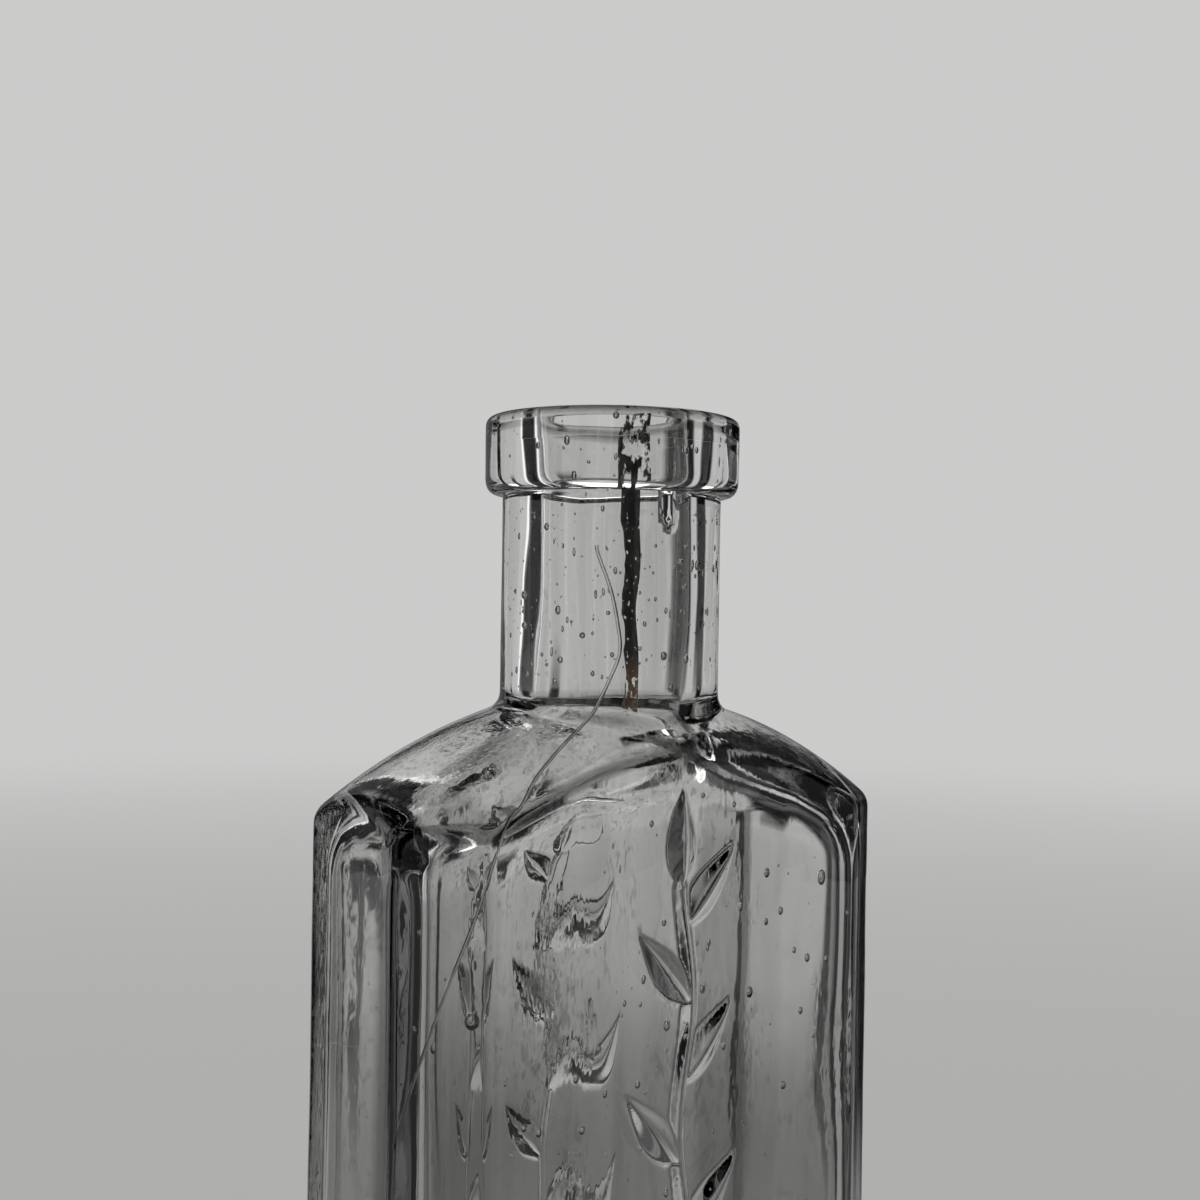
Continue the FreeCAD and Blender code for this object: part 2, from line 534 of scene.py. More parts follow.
# Seeds, the small bubbles left in the glass: those seen best, each with its degrees from the front and
# its height and width in millimetres
BODY_SEEDS = (
    (-89.0, 91.1, 0.5), (-63.1, 90.0, 0.45), (-62.6, 86.3, 0.45), (-65.9, 84.5, 0.35), (-85.9, 88.8, 0.55),
    (10.2, 76.5, 0.4), (27.5, 75.6, 0.4), (-16.9, 74.7, 0.4), (-8.9, 67.3, 0.45), (16.1, 65.4, 0.4),
    (38.0, 70.2, 0.5), (42.0, 67.2, 0.45), (29.0, 67.8, 0.9), (54.6, 69.3, 0.8), (34.5, 61.2, 0.6),
    (-7.2, 59.8, 0.65), (-67.4, 78.0, 1.0), (-62.2, 62.4, 1.1), (-76.1, 74.3, 0.7), (-67.2, 60.7, 0.5),
    (-43.6, 57.5, 0.5), (-35.6, 55.8, 0.45), (-21.5, 55.9, 0.5), (48.5, 63.9, 0.4), (45.9, 53.6, 0.5),
    (-51.3, 54.3, 0.5), (50.6, 59.1, 0.45), (-42.4, 53.7, 0.55),
)
LIP_SEEDS = ((-45.0, 100.8, 0.5), (-51.8, 99.9, 0.4), (-20.0, 101.5, 0.3), (2.0, 102.2, 0.3))

# Seeds scattered through a stretch of glass: (count, lowest, highest, random seed), in millimetres
LOW_SEEDS = (300, 9, 76, 11)
NECK_SEEDS = (220, 84, 98, 12)
RIM_SEEDS = (50, 99.6, 104.3, 21)
VESSEL_DRAW = 13
LIP_DRAW = 22

# Widths in millimetres of the scattered ones, and how all of them lie in the wall and stretch upwards
SEED_LEAST = 0.13
SEED_SPREAD = 0.4
SEED_RARITY = 3
SEED_DEPTHS = (0.5, 0.85)
SEED_ROOM = 0.6
SEED_STRETCH = (1.0, 1.7)
LARGE_SEED = 0.4
LARGE_SIDES = 10
SMALL_SIDES = 6


def scattered_seeds(count, low, high, seed):
    chance = random.Random(seed)
    spots = []
    for _ in range(count):
        size = SEED_LEAST + SEED_SPREAD * chance.random() ** SEED_RARITY
        spots.append((chance.uniform(-180, 180), chance.uniform(low, high), size))
    return spots


def add_seeds(bm, spots, seed):
    tree = BVHTree.FromBMesh(bm)
    chance = random.Random(seed)
    island = bmesh.new()
    for degrees, height, width in spots:
        inner, outer = wall_at(tree, math.radians(degrees), height * MM)
        depth = chance.uniform(*SEED_DEPTHS)
        radius = min(width * MM / 2, (outer - inner).length * (1 - depth) * SEED_ROOM)
        place = Matrix.Translation(inner.lerp(outer, depth))
        tall = Matrix.Diagonal((1.0, 1.0, chance.uniform(*SEED_STRETCH), 1.0))
        sides = LARGE_SIDES if width > LARGE_SEED else SMALL_SIDES
        bmesh.ops.create_uvsphere(
            island, u_segments=sides, v_segments=sides // 2 + 1, radius=radius, matrix=place @ tall)
    add_island(bm, island, GLASS_SLOT, hollow=True)


# A healed crack that wanders down from the neck: (degrees from the front, height in millimetres)
HAIRLINE = (
    (-41.7, 94.8), (-41.2, 94.2), (-34.5, 91.5), (-30.9, 89.0), (-29.7, 87.0), (-34.8, 84.9), (-41.7, 82.7),
    (-48.8, 80.8), (-52.5, 79.2), (-53.8, 78.0), (-54.1, 76.8), (-55.6, 75.8), (-56.7, 74.0), (-58.6, 71.4),
    (-60.9, 68.7), (-65.7, 63.7), (-70.1, 58.0), (-72.5, 54.0),
)
HAIRLINE_HALF_WIDTH = 0.15 * MM
HAIRLINE_HALF_GAP = 0.015 * MM
HAIRLINE_DEPTH = 0.12 * MM
HAIRLINE_STEPS = 5
HAIRLINE_SIDES = 6


def through(points, steps):
    """A smooth run through the points, so many steps to each stretch."""
    padded = (points[0],) + tuple(points) + (points[-1],)
    run = []
    for before, start, end, after in zip(padded, padded[1:], padded[2:], padded[3:]):
        for index in range(steps):
            t = index / steps
            place = []
            for a, b, c, d in zip(before, start, end, after):
                curve = (2 * a - 5 * b + 4 * c - d) * t + (3 * b - a - 3 * c + d) * t * t + (c - a)
                place.append(b + curve * t / 2)
            run.append(tuple(place))
    return run + [points[-1]]


def add_hairline(bm):
    tree = BVHTree.FromBMesh(bm)
    spine = []
    for degrees, height in through(HAIRLINE, HAIRLINE_STEPS):
        way = outward(math.radians(degrees))
        inner, outer = wall_at(tree, math.radians(degrees), height * MM)
        spine.append(outer - way * HAIRLINE_DEPTH)
    island = bmesh.new()
    disc = bmesh.ops.create_circle(
        island, cap_ends=True, segments=HAIRLINE_SIDES, radius=HAIRLINE_HALF_WIDTH)
    ring = disc["verts"]
    for index, centre in enumerate(spine):
        if index:
            ring = next_ring(island, ring)
        tangent = spine[min(index + 1, len(spine) - 1)] - spine[max(index - 1, 0)]
        side = tangent.cross(outward(math.atan2(centre.x, -centre.y))).normalized()
        out = side.cross(tangent).normalized()
        for step, vert in enumerate(ring):
            turn = math.tau * step / HAIRLINE_SIDES
            across = side * (HAIRLINE_HALF_WIDTH * math.sin(turn))
            vert.co = centre + out * (HAIRLINE_HALF_GAP * math.cos(turn)) + across
    island.faces.new(ring)
    add_island(bm, island, GLASS_SLOT, hollow=True)


# The break through the neck's near wall, from the bore out to the skin
BREAK_INNER = math.radians(-28.7)
BREAK_OUTER = math.radians(-20.9)
RIM_INNER = math.radians(-30.8)
RIM_MIDDLE = math.radians(-22.4)
RIM_OUTER = math.radians(-18.3)
BREAK_FOOT = 82.6 * MM
BREAK_HEAD = LIP_BOTTOM + 0.3 * MM
BREAK_THICKNESS = 0.05 * MM
BREAK_CLEARANCE = 0.06 * MM
BREAK_COLUMNS = 8
BREAK_ROW = 0.3 * MM

# Its ragged inner edge and its waver, each with the (width, tallness, seed) of its swells
RAGGED_INSET = 0.22
RAGGED_SWELL = 0.2
RAGGED_SWELL_FORM = (2.3 * MM, 1.0, 4.4)
RAGGED_RIPPLE = 0.1
RAGGED_RIPPLE_FORM = (0.8 * MM, 1.0, 2.7)
LEAST_INSET = 0.02
OUTER_END = 0.985
WAVER = math.radians(2.0)
WAVER_FORM = (3.0 * MM, 1.4, 6.6)

# Material slots of both pieces; the first is the glass
GLASS_SLOT = 0
JOINT_SLOT = 1
BREAK_SLOT = 2
RIM_SLOT = 3


def add_break(bm, inner_end, outer_end, low, high, raggedness, slot):
    """A thin stained sheet in the glass between two (angle, radius) ends, its inner edge ragged or not."""
    rows = int((high - low) / BREAK_ROW)
    island = bmesh.new()
    bmesh.ops.create_grid(island, x_segments=BREAK_COLUMNS, y_segments=rows, size=0.5)
    for vert in island.verts:
        share = vert.co.x + 0.5
        height = lerp(low, high, vert.co.y + 0.5)
        ragged = Vector((0.0, 0.0, height))
        inset = RAGGED_INSET + RAGGED_SWELL * swell(ragged, *RAGGED_SWELL_FORM)
        inset += RAGGED_RIPPLE * swell(ragged, *RAGGED_RIPPLE_FORM)
        share = lerp(max(inset * raggedness, LEAST_INSET), OUTER_END, share)
        angle = lerp(inner_end[0], outer_end[0], share)
        radius = lerp(inner_end[1], outer_end[1], share)
        angle += WAVER * swell(Vector((share * MM, 0.0, height)), *WAVER_FORM)
        vert.co = outward(angle) * radius
        vert.co.z = height
    bmesh.ops.solidify(island, geom=island.faces, thickness=BREAK_THICKNESS)
    add_island(bm, island, slot, hollow=False)


def finished(bm, name, materials, body="root"):
    """Turns a bmesh into a smooth piece at the origin that rides on a body."""
    mesh = bpy.data.meshes.new(name)
    for face in bm.faces:
        face.smooth = True
    for edge in bm.edges:
        edge.smooth = len({face.material_index for face in edge.link_faces}) == 1
    bm.to_mesh(mesh)
    bm.free()
    for material in materials:
        mesh.materials.append(material)
    piece = bpy.data.objects.new(name, mesh)
    bpy.context.scene.collection.objects.link(piece)
    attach(piece, body)
    return piece


# Sockets of a Mix node that mixes colours
MIX_FIRST_COLOUR = 6
MIX_SECOND_COLOUR = 7
MIX_COLOUR_RESULT = 2
WHITE = (1.0, 1.0, 1.0, 1.0)


class Wire:
    """A shader value that takes part in arithmetic by adding Math nodes."""

    def __init__(self, finish, socket):
        self.finish = finish
        self.socket = socket

    def math(self, operation, first, second):
        return self.finish.node("ShaderNodeMath", {"operation": operation}, {0: first, 1: second})

    def __add__(self, other):
        return self.math("ADD", self, other)

    def __rsub__(self, other):
        return self.math("SUBTRACT", other, self)

    def __mul__(self, other):
        return self.math("MULTIPLY", self, other)

    def __abs__(self):
        return self.math("ABSOLUTE", self, 0.0)

    def clamped(self):
        return self.math("MINIMUM", self, 1.0)

    def ramp(self, low, high, top=1.0):
        """0 up to the low value, then rising to the top at the high one."""
        return self.finish.node(
            "ShaderNodeMapRange", {}, {"Value": self, "From Min": low, "From Max": high, "To Max": top})

    __radd__ = __add__
    __rmul__ = __mul__


class Finish:
    """The node tree of a material or of the world."""

    def __init__(self, owner):
        owner.use_nodes = True
        self.tree = owner.node_tree
        self.tree.nodes.clear()

    def node(self, kind, settings, inputs, output=0):
        made = self.tree.nodes.new(kind)
        for name, value in settings.items():
            if name == "stops":
                for place, (position, colour) in zip(made.color_ramp.elements, value):
                    place.position, place.color = position, colour
            else:
                setattr(made, name, value)
        for name, value in inputs.items():
            if isinstance(value, Wire):
                self.tree.links.new(value.socket, made.inputs[name])
            else:
                made.inputs[name].default_value = value
        return Wire(self, made.outputs[output]) if made.outputs else None

    def clouds(self, vector, width, detail):
        """Soft noise from 0 to 1 with clouds about so wide."""
        return self.node(
            "ShaderNodeTexNoise", {}, {"Vector": vector, "Scale": 1.0 / width, "Detail": detail}, "Fac")

    def mixed(self, share, first, second):
        """A colour that goes from the first to the second as the share goes from 0 to 1."""
        return self.node("ShaderNodeMix", {"data_type": "RGBA"}, {
            0: share, MIX_FIRST_COLOUR: first, MIX_SECOND_COLOUR: second}, MIX_COLOUR_RESULT)


# The glass: its tints, among them a deep grey that paints shade on the edges, and the marks on a mesh that
# say where it is moulded and where it bends sharply and takes that painted shade
GLASS_IOR = 1.52
MOULDED = "moulded"
# The mesh mark for where deep grey painted shade goes along sharp bends
SHADE_EDGE = "edge"
CLEAR_GREY = (0.90, 0.905, 0.895, 1.0)
SMOKY_GREY = (0.78, 0.785, 0.77, 1.0)
# Painted shade: a deep grey that stands in for the dark surroundings and the thick glass seen through the
# edges
PAINTED_SHADE_GREY = (0.06, 0.061, 0.06, 1.0)
FLECK_GREY = (0.14, 0.14, 0.135, 1.0)

# Streaks drawn out upwards, patches of grain with dark flecks, and scuffs: widths, detail and limits
DRAWN_SCALE = (1.0, 1.0, 0.12)
UPRIGHT_SCALE = (1.0, 1.0, 0.4)
STREAK_WIDTH = 4.0 * MM
STREAK_DETAIL = 3.0
STREAK_LIMITS = (0.35, 0.65)
PATCH_WIDTH = 7.0 * MM
PATCH_DETAIL = 2.0
PATCH_LIMITS = (0.47, 0.62)
GRAIN_WIDTH = 0.5 * MM
GRAIN_DETAIL = 1.0
GRAIN_DEPTH = 0.035 * MM
GRAIN_OFF_PANELS = 0.25
GRAIN_ON_SHOULDER = 0.5
FLECK_LIMITS = (0.54, 0.66)
FLECK_SHARE = 0.7
SCUFF_WIDTH = 2.4 * MM
SCUFF_DETAIL = 5.0
PATCH_HAZE = (0.5, 0.75, 0.05)
SCUFF_HAZE = (0.42, 0.66, 0.17)

# Where the panels, shoulder, neck and upright edges start and where they are reached in full
PANEL_DEPTHS = (HALF_DEPTH - 1.6 * MM, HALF_DEPTH - 0.8 * MM)
SHOULDER_HEIGHTS = (73.0 * MM, 79.0 * MM)
NECK_HEIGHTS = (81.5 * MM, 84.0 * MM)
SIDE_END_WIDTHS = (20.5 * MM, 21.5 * MM)
SIDE_END_DEPTHS = (3.8 * MM, 5.2 * MM)
CUT_CORNER_WIDTHS = (15.8 * MM, 17.0 * MM)
CUT_CORNER_DEPTHS = (6.0 * MM, 6.8 * MM)

# How much of the deep grey painted shade each edge takes
SIDE_END_SHADE = 0.95
CUT_CORNER_SHADE = 0.6
BEND_SHADE = 0.95
MOST_SHADE = 0.97


def glass(name):
    """Clear old glass: grey streaks, painted shade in deep grey along the edges, grain and scuffs in
    patches.
    """
    material = bpy.data.materials.new(name)
    finish = Finish(material)
    place = finish.node("ShaderNodeTexCoord", {}, {}, "Object")
    upright = finish.node("ShaderNodeMapping", {}, {"Vector": place, "Scale": UPRIGHT_SCALE})
    drawn = finish.node("ShaderNodeMapping", {}, {"Vector": place, "Scale": DRAWN_SCALE})
    moulded = finish.node("ShaderNodeAttribute", {"attribute_name": MOULDED}, {}, "Fac")
    edge = finish.node("ShaderNodeAttribute", {"attribute_name": SHADE_EDGE}, {}, "Fac")
    across = abs(finish.node("ShaderNodeSeparateXYZ", {}, {"Vector": place}, "X"))
    deep = abs(finish.node("ShaderNodeSeparateXYZ", {}, {"Vector": place}, "Y"))
    height = finish.node("ShaderNodeSeparateXYZ", {}, {"Vector": place}, "Z")

    streaks = finish.clouds(drawn, STREAK_WIDTH, STREAK_DETAIL)
    grain = finish.clouds(upright, GRAIN_WIDTH, GRAIN_DETAIL)
    patches = finish.clouds(upright, PATCH_WIDTH, PATCH_DETAIL)
    scuffs = finish.clouds(place, SCUFF_WIDTH, SCUFF_DETAIL)

    on_panels = deep.ramp(*PANEL_DEPTHS)
    below_neck = 1.0 - height.ramp(*NECK_HEIGHTS)
    on_shoulder = height.ramp(*SHOULDER_HEIGHTS) * below_neck
    side_ends = across.ramp(*SIDE_END_WIDTHS) * deep.ramp(*SIDE_END_DEPTHS)
    cut_corners = across.ramp(*CUT_CORNER_WIDTHS) * deep.ramp(*CUT_CORNER_DEPTHS)
    # Painted shade along the upright edges and the sharp bends, as a share of the deep grey
    upright_edge_shade = (side_ends * SIDE_END_SHADE + cut_corners * CUT_CORNER_SHADE) * moulded
    edges = (upright_edge_shade + edge * BEND_SHADE).clamped() * MOST_SHADE
    textured = (on_panels + on_shoulder).clamped() * moulded
    grained = (patches.ramp(*PATCH_LIMITS) + on_shoulder * GRAIN_ON_SHOULDER).clamped()
    flecks = grain.ramp(*FLECK_LIMITS) * grained * textured

    tint = finish.mixed(streaks.ramp(*STREAK_LIMITS), SMOKY_GREY, CLEAR_GREY)
    # Painted shade: the deep grey mixed in along the edges
    tint = finish.mixed(edges, tint, PAINTED_SHADE_GREY)
    tint = finish.mixed(flecks * FLECK_SHARE, tint, FLECK_GREY)
    strength = below_neck * GRAIN_OFF_PANELS + textured * (1.0 - GRAIN_OFF_PANELS)
    rise = grain * grained * moulded * strength
    skin = finish.node(
        "ShaderNodeBump", {}, {"Height": rise, "Distance": GRAIN_DEPTH, "Strength": 1.0}, "Normal")
    haze = patches.ramp(*PATCH_HAZE) + scuffs.ramp(*SCUFF_HAZE) * on_shoulder * moulded
    surface = finish.node("ShaderNodeBsdfPrincipled", {}, {
        "Base Color": tint, "Roughness": haze, "IOR": GLASS_IOR,
        "Transmission Weight": 1.0, "Normal": skin,
    })
    finish.node("ShaderNodeOutputMaterial", {}, {"Surface": surface})
    return material


def fused_joint():
    """Where lip and neck are one glass: nothing bends or mirrors light there."""
    material = bpy.data.materials.new("fused_joint")
    finish = Finish(material)
    surface = finish.node("ShaderNodeBsdfTransparent", {}, {"Color": WHITE})
    finish.node("ShaderNodeOutputMaterial", {}, {"Surface": surface})
    return material


# The stain in the break: near black dirt, rust at the foot, and (start, width) of the clean gaps in it
DIRT_WIDTH = 1.2 * MM
DIRT_DETAIL = 4.0
DIRT_STOPS = ((0.45, (0.012, 0.011, 0.010, 1.0)), (0.8, (0.08, 0.065, 0.05, 1.0)))
DIRT_ROUGHNESS = 0.55
RUST_TOP = 87.0 * MM
RUST_FULL = 84.5 * MM
RUST_COLOUR = (0.36, 0.20, 0.10, 1.0)
RUST_GAPS = 0.12
GAP_DETAIL = 3.0
GAP_SOFTNESS = 0.06
NECK_GAPS = (0.62, 0.6 * MM)
RIM_GAPS = (0.48, 1.3 * MM)


def stained_break(name, gap_start, gap_width):
    """Old dirt in the break: near black, brown in places, with gaps where clean glass shows."""
    material = bpy.data.materials.new(name)
    finish = Finish(material)
    place = finish.node("ShaderNodeTexCoord", {}, {}, "Object")
    dirt = finish.clouds(place, DIRT_WIDTH, DIRT_DETAIL)
    flecks = finish.clouds(place, gap_width, GAP_DETAIL)
    tone = finish.node("ShaderNodeValToRGB", {"stops": DIRT_STOPS}, {"Fac": dirt}, "Color")
    height = finish.node("ShaderNodeSeparateXYZ", {}, {"Vector": place}, "Z")
    rusty = height.ramp(RUST_TOP, RUST_FULL)
    stain = finish.mixed(rusty, tone, RUST_COLOUR)
    film = finish.node("ShaderNodeBsdfPrincipled", {}, {"Base Color": stain, "Roughness": DIRT_ROUGHNESS})
    clean = finish.node("ShaderNodeBsdfTransparent", {}, {"Color": WHITE})
    gaps = (flecks + rusty * RUST_GAPS).ramp(gap_start, gap_start + GAP_SOFTNESS)
    surface = finish.node("ShaderNodeMixShader", {}, {"Fac": gaps, 1: film, 2: clean})
    finish.node("ShaderNodeOutputMaterial", {}, {"Surface": surface})
    return material


def bottle_body(materials):
    bm = bmesh.new()
    outside = bm.verts.layers.float.new(MOULDED)
    # The layer for painted shade along the shoulder's bend
    edge = bm.verts.layers.float.new(SHADE_EDGE)
    blown_shell(bm, outside, edge)
    spray = []
    for face in bm.faces:
        middle = face.calc_center_median()
        if on_panel(middle) and near_spray(panel_x(middle), middle.z):
            spray.append(face)
    refine(bm, spray, RELIEF_CUTS)
    drip = []
    for face in bm.faces:
        middle = face.calc_center_median()
        if abs(middle.xy.length - NECK_RADIUS) < ON_NECK and inside_drip(middle):
            drip.append(face)
    refine(bm, drip, DRIP_CUTS)
    shape_by_hand(bm, outside)
    for face in bm.faces:
        middle = face.calc_center_median()
        if middle.z > LIP_BOTTOM and middle.xy.length > BORE_RADIUS + NECK_WALL / 4:
            face.material_index = JOINT_SLOT
    scattered = scattered_seeds(*LOW_SEEDS) + scattered_seeds(*NECK_SEEDS)
    add_seeds(bm, list(BODY_SEEDS) + scattered, VESSEL_DRAW)
    add_hairline(bm)
    add_break(
        bm, (BREAK_INNER, BORE_RADIUS), (BREAK_OUTER, NECK_RADIUS),
        BREAK_FOOT, BREAK_HEAD, 1.0, BREAK_SLOT)
    add_break(
        bm, (RIM_INNER, BORE_RADIUS + BREAK_CLEARANCE), (RIM_MIDDLE, NECK_RADIUS - BREAK_CLEARANCE),
        BREAK_HEAD, NECK_END - BREAK_CLEARANCE, 0.0, RIM_SLOT)
    piece = finished(bm, "blown_vessel", materials)
    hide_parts("bottle_body")


LIP_STEPS = 160
SEAT_ROWS = 4
WRAP_ROWS = 6
UNDER_ROWS = 2
SIDE_ROWS = 6
TOP_ROWS = 6
MOUTH_ROWS = 4


def lip_profile():
    """The lip's section as (radius, height) pairs, round from the seat on the neck's end."""
    seat_radius = NECK_RADIUS + JOINT_GAP
    seat_height = NECK_END + JOINT_GAP
    under_start = (LIP_RADIUS - LIP_UNDER_ROUND, LIP_BOTTOM)
    side_start = (LIP_RADIUS, LIP_BOTTOM + LIP_UNDER_ROUND)
    side_end = (LIP_RADIUS, LIP_TOP - LIP_TOP_ROUND)
    top_start = (LIP_RADIUS - LIP_TOP_ROUND, LIP_TOP)
    top_end = (MOUTH_RADIUS + MOUTH_ROUND, LIP_TOP)
    mouth_start = (MOUTH_RADIUS, LIP_TOP - MOUTH_ROUND)
    rows = straight((BORE_RADIUS, seat_height), (seat_radius, seat_height), SEAT_ROWS)
    rows += straight((seat_radius, seat_height), (seat_radius, LIP_BOTTOM), WRAP_ROWS)
    rows += straight((seat_radius, LIP_BOTTOM), under_start, UNDER_ROWS)
    rows += [under_start] + bend(under_start, (LIP_RADIUS, LIP_BOTTOM), side_start, BEND_STEPS)
    rows += straight(side_start, side_end, SIDE_ROWS)
    rows += [side_end] + bend(side_end, (LIP_RADIUS, LIP_TOP), top_start, BEND_STEPS)
    rows += straight(top_start, top_end, TOP_ROWS)
    rows += [top_end] + bend(top_end, (MOUTH_RADIUS, LIP_TOP), mouth_start, BEND_STEPS)
    return rows + straight(mouth_start, (BORE_RADIUS, seat_height), MOUTH_ROWS)


def lip_collar(materials):
    bm = bmesh.new()
    verts = [bm.verts.new((radius, 0.0, height)) for radius, height in lip_profile()]
    edges = [bm.edges.new(pair) for pair in zip(verts, verts[1:] + verts[:1])]
    bmesh.ops.spin(
        bm, geom=verts + edges, cent=(0, 0, 0), axis=(0, 0, 1), angle=math.tau,
        steps=LIP_STEPS, use_merge=True,
    )
    bmesh.ops.remove_doubles(bm, verts=bm.verts, dist=JOINT_GAP / 10)
    bmesh.ops.recalc_face_normals(bm, faces=bm.faces)
    for vert in bm.verts:
        if vert.co.xy.length > NECK_RADIUS + 2 * JOINT_GAP:
            wave = LIP_SWELL * swell(vert.co, *LIP_SWELL_FORM)
            vert.co += vert.co.xy.to_3d().normalized() * wave
    # Painted shade: deep grey along the rounded top corner of the lip
    edge = bm.verts.layers.float.new(SHADE_EDGE)
    for vert in bm.verts:
        from_corner = math.hypot(vert.co.xy.length - LIP_RADIUS, vert.co.z - LIP_TOP)
        vert[edge] = smooth_step(LIP_TOP_ROUND, LIP_TOP_ROUND / 2, from_corner)
    for face in bm.faces:
        middle = face.calc_center_median()
        on_seat = middle.z < NECK_END + 2 * JOINT_GAP and middle.xy.length < NECK_RADIUS + 2 * JOINT_GAP
        if on_seat:
            face.material_index = JOINT_SLOT
    add_seeds(bm, list(LIP_SEEDS) + scattered_seeds(*RIM_SEEDS), LIP_DRAW)
    outer_end = (RIM_OUTER, LIP_RADIUS - BREAK_CLEARANCE)
    add_break(
        bm, (RIM_MIDDLE, NECK_RADIUS + BREAK_CLEARANCE), outer_end,
        LIP_BOTTOM + LIP_UNDER_ROUND / 2, NECK_END, 0.0, RIM_SLOT)
    add_break(
        bm, (RIM_INNER, MOUTH_RADIUS + BREAK_CLEARANCE), outer_end,
        NECK_END + BREAK_CLEARANCE, LIP_TOP - MOUTH_ROUND, 0.0, RIM_SLOT)
    piece = finished(bm, "applied_lip", materials)
    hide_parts("lip_collar")


# The studio: a pale floor and backdrop, and soft-edged cards that only the glass sees.
# The angles of cards and strips are in degrees from the front, positive to the right.
BACKDROP = (0.60, 0.60, 0.595, 1.0)
FILL_LIGHT = (0.80, 0.80, 0.80, 1.0)
FLOOR_COLOUR = (0.42, 0.42, 0.415, 1.0)
FLOOR_ROUGHNESS = 0.8
FLOOR_RADIUS = 2.5
FLOOR_SIDES = 96
FLOOR_FADE = (0.15, 0.8)
DARK = (0.006, 0.006, 0.007, 1.0)
COVER = "cover"
CARD_COLUMNS = 12
CARD_ROWS = 40
SOFT_EDGE = 0.3
CRISP_EDGE = 0.14

# Tall cards in a ring, with gaps where a view looks straight through, and white strips beside some
CARDS = (
    (9, 36), (54, 83), (95, 128), (187, 217), (234, 261), (279, 306), (324, 351),
)
HIGH_CARD = (155, 171)
CARD_RING = 0.4
CARD_HEIGHT = 1.0
CARD_FOOT = (0.0, 0.08)
HIGH_CARD_FOOT = (0.15, 0.22)
STRIPS = (9, 187, 217, 234, 261, 279, 306, 324, 351)
STRIP_TURN = 5.0
STRIP_LIGHT = 1.2

# Low cards nearer to the bottle, each with a wedge on the floor before it
LOW_CARDS = (
    (12, 33), (57, 78), (102, 123), (161, 169), (192, 213), (237, 258), (282, 303), (327, 348),
)
LOW_RING = 0.2
LOW_HEIGHT = 0.085
LOW_FOOT = (-0.01, 0.0)
WEDGE_START = 0.1
WEDGE_SHARE = 0.4
WEDGE_FADE = 0.6
WEDGE_LIFT = 0.2 * MM

# A dark card on the floor, a dim wall that the glass mirrors, and a dark ceiling
NEAR_FLOOR_START = (0.03, 0.08)
NEAR_FLOOR_END = (0.26, 0.12)
NEAR_FLOOR_TURN = (50.0, 25.0)
NEAR_FLOOR_COVER = 0.65
NEAR_FLOOR_LIFT = 0.1 * MM
ROOM_RADIUS = 0.385
ROOM_DIVISIONS = 4
ROOM_COVER = 0.7
CEILING_HEIGHT = 0.6
CEILING_FADE = (0.9, 0.45)

# Soft lamps evenly round the bottle, the first so far round from the camera
LAMP_COUNT = 3
LAMP_SIZE = 0.25
LAMP_POWER = 0.5
LAMP_RING = 0.45
LAMP_HEIGHT = 0.5
FIRST_LAMP_TURN = math.radians(60.0)


def soft_card(name, colour, strength):
    """A card's colour, gone towards its edges as its cover says."""
    material = bpy.data.materials.new(name)
    finish = Finish(material)
    cover = finish.node("ShaderNodeAttribute", {"attribute_name": COVER}, {}, "Fac")
    nothing = finish.node("ShaderNodeBsdfTransparent", {}, {"Color": WHITE})
    glow = finish.node("ShaderNodeEmission", {}, {"Color": colour, "Strength": strength})
    surface = finish.node("ShaderNodeMixShader", {}, {"Fac": cover, 1: nothing, 2: glow})
    finish.node("ShaderNodeOutputMaterial", {}, {"Surface": surface})
    return material


def seen_directly(finish):
    """1 for the camera's rays and for what glass or gloss shows, 0 for light that falls on things."""
    path = "ShaderNodeLightPath"
    camera = finish.node(path, {}, {}, "Is Camera Ray")
    glossy = finish.node(path, {}, {}, "Is Glossy Ray")
    through_glass = finish.node(path, {}, {}, "Is Transmission Ray")
    return (camera + glossy + through_glass).clamped()


def pale_floor():
    """A pale floor that keeps the shadow near the bottle and fades into the backdrop further out."""
    material = bpy.data.materials.new("pale_floor")
    finish = Finish(material)
    place = finish.node("ShaderNodeTexCoord", {}, {}, "Object")
    far = finish.node("ShaderNodeVectorMath", {"operation": "LENGTH"}, {0: place}, "Value")
    fade = finish.node("ShaderNodeMapRange", {"interpolation_type": "SMOOTHSTEP"}, {
        "Value": far, "From Min": FLOOR_FADE[0], "From Max": FLOOR_FADE[1]})
    paint = finish.node("ShaderNodeBsdfPrincipled", {}, {
        "Base Color": FLOOR_COLOUR, "Roughness": FLOOR_ROUGHNESS, "Specular IOR Level": 0.0})
    glow = finish.node("ShaderNodeEmission", {}, {"Color": BACKDROP, "Strength": 1.0})
    surface = finish.node(
        "ShaderNodeMixShader", {}, {"Fac": fade * seen_directly(finish), 1: paint, 2: glow})
    finish.node("ShaderNodeOutputMaterial", {}, {"Surface": surface})
    return material


def stage_object(bm, name, material):
    mesh = bpy.data.meshes.new(name)
    bm.to_mesh(mesh)
    bm.free()
    mesh.materials.append(material)
    thing = bpy.data.objects.new(name, mesh)
    bpy.context.scene.collection.objects.link(thing)
    return thing


def only_for_glass(card):
    card.visible_camera = False
    card.visible_diffuse = False
    card.visible_shadow = False


